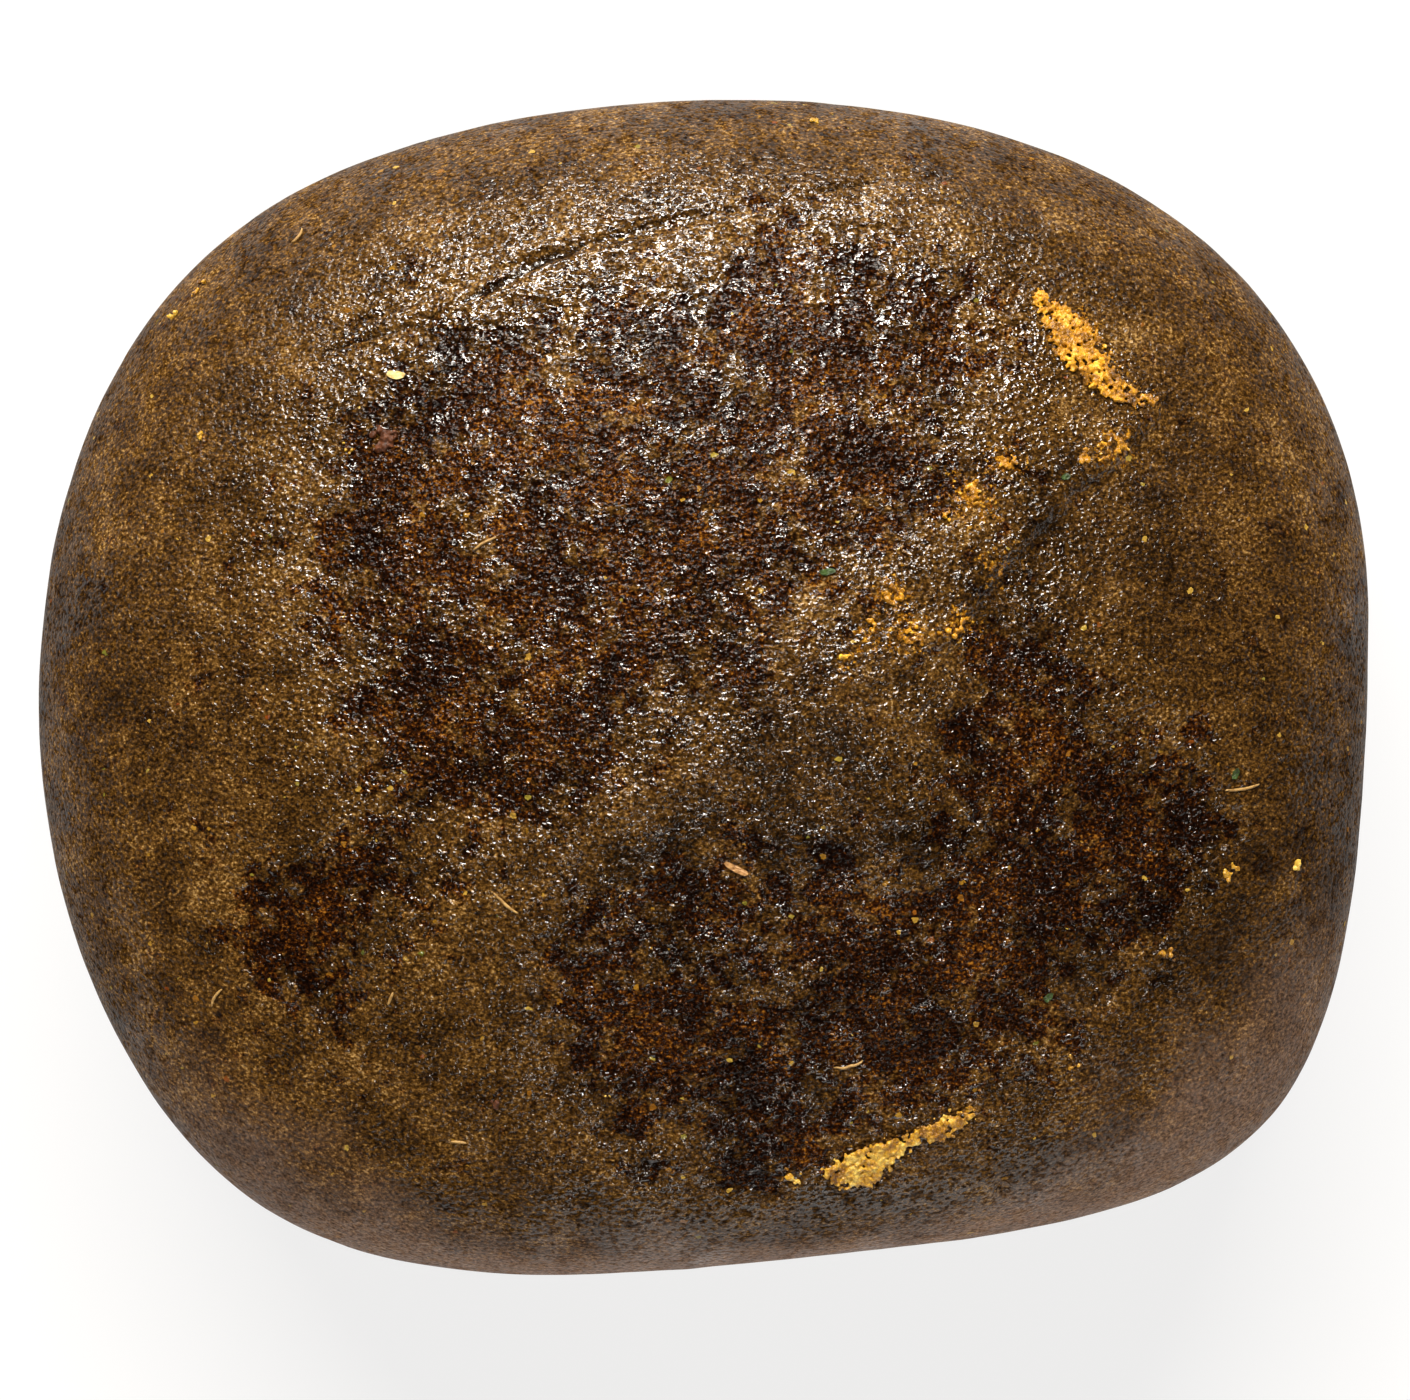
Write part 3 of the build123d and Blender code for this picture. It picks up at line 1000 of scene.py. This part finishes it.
def broken_resin(name, stops):
    """Resin broken fresh: clear amber to gold, waxy, with small bright facets."""
    material, tree, shader, where = new_material(name)
    mottle = node(
        tree, "ShaderNodeTexNoise",
        {"Vector": where, "Scale": per(0.7), "Detail": 5, "Roughness": 0.8},
    )
    tone = node(tree, "ShaderNodeMapRange", {"Value": mottle, "From Min": 0.3, "From Max": 0.68})
    ramp = node(tree, "ShaderNodeValToRGB", {0: tone}, stops=stops)
    tree.links.new(ramp.outputs[0], shader.inputs["Base Color"])
    facets = node(
        tree, "ShaderNodeTexNoise",
        {"Vector": where, "Scale": per(0.1), "Detail": 2, "Roughness": 0.6},
    )
    bump = node(
        tree, "ShaderNodeBump", {"Height": facets, "Strength": 1.0, "Distance": 0.06 * MM}
    )
    tree.links.new(bump.outputs[0], shader.inputs["Normal"])
    shader.inputs["Roughness"].default_value = 0.25
    shader.inputs["IOR"].default_value = 1.54
    return material


def dry_plant(name, light, dark):
    """Dry plant matter: matt, with fine veins."""
    material, tree, shader, where = new_material(name)
    veins = node(
        tree, "ShaderNodeTexNoise",
        {"Vector": where, "Scale": per(0.15), "Detail": 3, "Roughness": 0.6},
    )
    tone = node(tree, "ShaderNodeMapRange", {"Value": veins, "From Min": 0.35, "From Max": 0.65})
    layers = {0: tone, COLOUR_A: colour(dark), COLOUR_B: colour(light)}
    mixed = node(tree, "ShaderNodeMix", layers, data_type="RGBA").outputs[MIXED_COLOUR]
    tree.links.new(mixed, shader.inputs["Base Color"])
    bump = node(
        tree, "ShaderNodeBump", {"Height": veins, "Strength": 0.8, "Distance": 0.03 * MM}
    )
    tree.links.new(bump.outputs[0], shader.inputs["Normal"])
    shader.inputs["Roughness"].default_value = 0.5
    shader.inputs["IOR"].default_value = 1.45
    return material


# ---------------------------------------------------------------- stage, light and camera

PAPER, WARM_ROOM, WARM_LAMP = (0.86, 0.86, 0.86, 1), (1, 0.88, 0.76, 1), (1.0, 0.94, 0.86)
WHITE = (1, 1, 1, 1)


def white_where_seen(tree, shader, share):
    """Shows a surface as mostly plain white to the eye and in reflections, and lit otherwise."""
    path = node(tree, "ShaderNodeLightPath").outputs
    seen = path["Is Camera Ray"]
    for ray in ("Is Glossy Ray", "Is Transmission Ray"):
        seen = node(tree, "ShaderNodeMath", {0: seen, 1: path[ray]}, operation="MAXIMUM")
    part = node(tree, "ShaderNodeMath", {0: seen, 1: share}, operation="MULTIPLY")
    glow = node(tree, "ShaderNodeEmission", {0: WHITE, 1: 1.0})
    return node(tree, "ShaderNodeMixShader", {0: part, 1: shader, 2: glow})


def make_floor():
    """A plain pale floor that the cake lies on, whiter away from the cake."""
    material = bpy.data.materials.new("pale floor")
    material.use_nodes = True
    tree = material.node_tree
    tree.nodes.clear()
    paper = node(tree, "ShaderNodeBsdfDiffuse", {0: PAPER})
    where = node(tree, "ShaderNodeTexCoord").outputs["Object"]
    away = node(tree, "ShaderNodeVectorMath", {0: where}, operation="LENGTH").outputs["Value"]
    share = node(
        tree, "ShaderNodeMapRange",
        {"Value": away, "From Min": 0.08, "From Max": 0.5, "To Min": 0.8, "To Max": 1.0},
    )
    node(tree, "ShaderNodeOutputMaterial", {"Surface": white_where_seen(tree, paper, share)})
    bpy.ops.mesh.primitive_plane_add(size=6, location=(0, 0, 0))
    floor = bpy.context.object
    floor.name = "floor"
    floor.data.materials.append(material)


def make_world():
    """A dim room, dark overhead and paler towards the floor, seen as white."""
    world = bpy.data.worlds.new("studio")
    bpy.context.scene.world = world
    world.use_nodes = True
    tree = world.node_tree
    tree.nodes.clear()
    heading = node(tree, "ShaderNodeTexCoord").outputs["Generated"]
    up = node(tree, "ShaderNodeSeparateXYZ", {0: heading}).outputs["Z"]
    level = node(
        tree, "ShaderNodeMapRange",
        {"Value": up, "From Min": 0.05, "From Max": 0.45, "To Min": 0.06, "To Max": 0.008},
    )
    path = node(tree, "ShaderNodeLightPath").outputs
    room = node(tree, "ShaderNodeBackground", {0: WARM_ROOM, 1: level})
    white = node(tree, "ShaderNodeBackground", {0: WHITE, 1: 1.0})
    mix = node(tree, "ShaderNodeMixShader", {0: path["Is Camera Ray"], 1: room, 2: white})
    node(tree, "ShaderNodeOutputWorld", {0: mix})


def add_panel(name, turn, rise, width, height, watts, shines=True):
    """A soft panel lamp that faces the cake. turn is from +X towards +Y, in degrees. One that
    doesn't shine lights the cake without showing in its gloss."""
    distance = 0.9
    lamp = bpy.data.lights.new(name, "AREA")
    lamp.shape = "RECTANGLE"
    lamp.size, lamp.size_y = width, height
    lamp.energy = watts
    lamp.color = WARM_LAMP
    panel = bpy.data.objects.new(name, lamp)
    bpy.context.scene.collection.objects.link(panel)
    a, e = math.radians(turn), math.radians(rise)
    towards = Vector((math.cos(a) * math.cos(e), math.sin(a) * math.cos(e), math.sin(e)))
    panel.location = MIDDLE + towards * distance
    panel.rotation_mode = "QUATERNION"
    panel.rotation_quaternion = towards.to_track_quat("Z", "Y")
    panel.visible_camera = False
    panel.visible_glossy = shines


def light_the_cake():
    """A wide soft panel behind the cake, and weak fills round it."""
    make_world()
    add_panel("key", turn=97, rise=47, width=0.75, height=0.15, watts=16)
    add_panel("low back light", turn=100, rise=14, width=1.1, height=0.25, watts=5, shines=False)
    add_panel("front fill", turn=-70, rise=5, width=1.2, height=0.2, watts=2.6)
    add_panel("front sparkle", turn=-80, rise=62, width=0.14, height=0.1, watts=1.8)


def make_camera():
    """Straight above the cake, with +Y up the picture."""
    seen_width = 44.26 * MM  # at the height where the cake is widest
    widest = 0.55 * HEIGHT
    camera = bpy.data.cameras.new("camera")
    camera.lens = 200
    camera.sensor_width = 36
    camera.clip_start, camera.clip_end = 0.01, 20
    eye = bpy.data.objects.new("camera", camera)
    bpy.context.scene.collection.objects.link(eye)
    up = widest + seen_width * camera.lens / camera.sensor_width
    eye.location = (0.06 * MM, -0.38 * MM, up)
    eye.rotation_euler = (0, 0, 0)
    bpy.context.scene.camera = eye


# ---------------------------------------------------------------- the whole

cake = [build_rind(burnished_resin()), build_core(pressed_raw_resin())]
SURFACE = outside_of(cake)

amber = broken_resin("broken amber resin", AMBER_STOPS)
golden = broken_resin("broken golden resin", GOLDEN_STOPS)
pale = broken_resin("pale resin grain", PALE_STOPS)
husk = dry_plant("red husk", "#643412", "#381a08")
crumbled("amber_crust_upper", amber, "amber_resin", per_mm2=300, grain=(0.03, 0.12), stray=0.2,
         lift=0.6, gaps=-0.6, ridge=AMBER_RIDGE)
crumbled("amber_crust_side", amber, "amber_resin", per_mm2=120, grain=(0.06, 0.14), stray=0.4,
         lift=0.3, gaps=-0.1)
crumbled("amber_crumbs", amber, "amber_resin", per_mm2=90, grain=(0.05, 0.14), stray=0.3, lift=0.3)
crumbled("gold_crust_lower", golden, "golden_resin", per_mm2=260, grain=(0.05, 0.12), stray=0.1,
         lift=0.5, gaps=-0.7, ridge=GOLD_RIDGE)
crumbled("gold_crumbs", golden, "golden_resin", per_mm2=30, grain=(0.07, 0.16), stray=0.15,
         lift=0.5)
crumbled("yellow_grains", pale, "pale_resin_grain", per_mm2=40, grain=(0.07, 0.15), stray=0.05,
         lift=0.6)
crumbled("husk_grain", husk, "husk", per_mm2=30, grain=(0.12, 0.2), stray=0.02, lift=0.2)
crumbled("orange_grain", husk, "husk", per_mm2=20, grain=(0.08, 0.14), stray=0.05, lift=0.4)
lay_flakes("leaf_flecks", dry_plant("dry leaf", "#3c5420", "#222e10"), "leaf")
lay_flakes("straw_chip", dry_plant("split straw", "#f2da98", "#c8a25c"), "straw")
lay_flakes("chaff_flake", dry_plant("chaff", "#c2935a", "#7c5226"), "chaff", lobes=0.5)
lay_fibres("straw_fibres", dry_plant("plant fibre", "#c09a5c", "#8a6632"), "fibre")

make_floor()
light_the_cake()
make_camera()
bpy.context.scene.view_settings.view_transform = "Standard"
